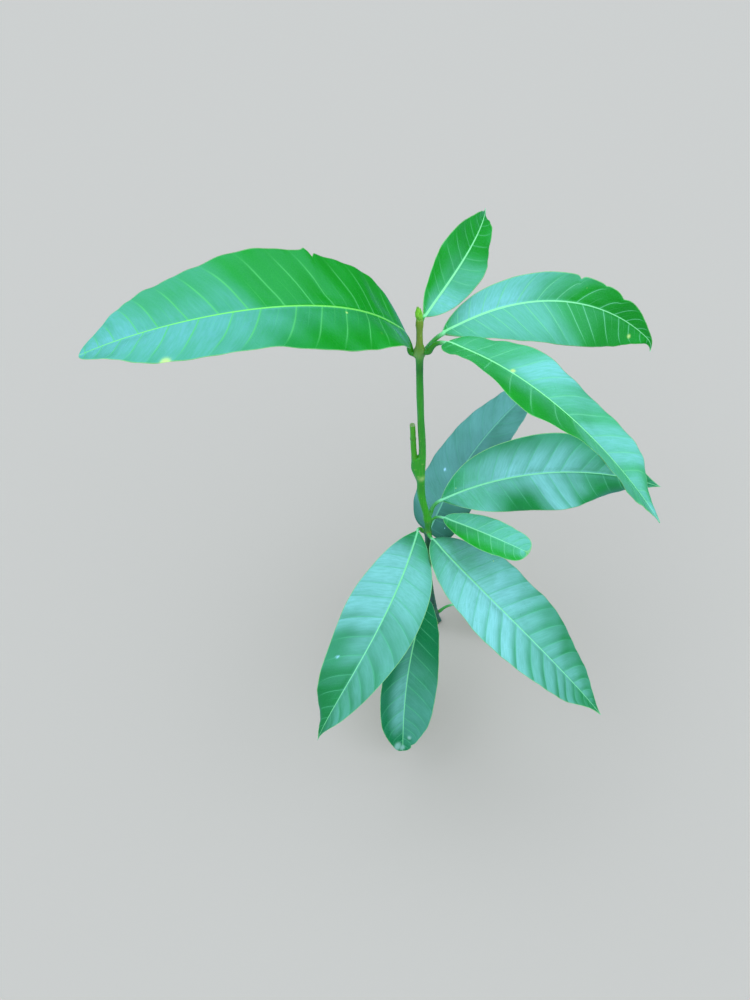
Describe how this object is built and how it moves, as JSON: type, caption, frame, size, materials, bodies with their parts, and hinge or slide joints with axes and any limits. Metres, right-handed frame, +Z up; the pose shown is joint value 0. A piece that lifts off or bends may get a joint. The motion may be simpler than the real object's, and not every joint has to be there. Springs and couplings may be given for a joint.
{
  "type": "young mango tree",
  "caption": "Seedling mango tree rooted in the ground: a slender leaning stem with a bud at its tip, a short cut shoot beside it and long drooping glossy leaves on short stalks.",
  "frame": {"origin": "middle of the flat cut under the stem, at ground level", "axes": "+Z up from the ground; the plant is seen from -Y in the picture, with +X to the right, and the stem leans towards -X"},
  "size_m": [0.3593, 0.2669, 0.4219],
  "materials": {
    "stem": "smooth green bark, satin, with faint rings and pale specks",
    "shoot": "smooth yellow-green bark, satin, with a dry cut end",
    "bud": "yellow-green bud scales, satin",
    "upper_leaf": "glossy leathery leaf, bright green, with a pale midrib and veins",
    "lower_leaf": "glossy leathery leaf, deep green, with a pale midrib and veins",
    "shaded_leaf": "glossy leathery leaf, dull blue-green, with a pale midrib and veins"
  },
  "bodies": {
    "root": {"main_stem": "stem", "cut_side_shoot": "shoot", "tip_bud": "bud", "upper_left_leaf": "upper_leaf", "upper_back_leaf": "upper_leaf", "upper_right_leaf": "upper_leaf", "upper_drooping_leaf": "upper_leaf", "lower_back_leaf": "shaded_leaf", "lower_right_leaf": "lower_leaf", "small_notched_leaf": "lower_leaf", "front_right_leaf": "lower_leaf", "front_left_leaf": "lower_leaf", "lowest_front_leaf": "lower_leaf", "small_low_leaf": "lower_leaf"}
  },
  "joints": []
}
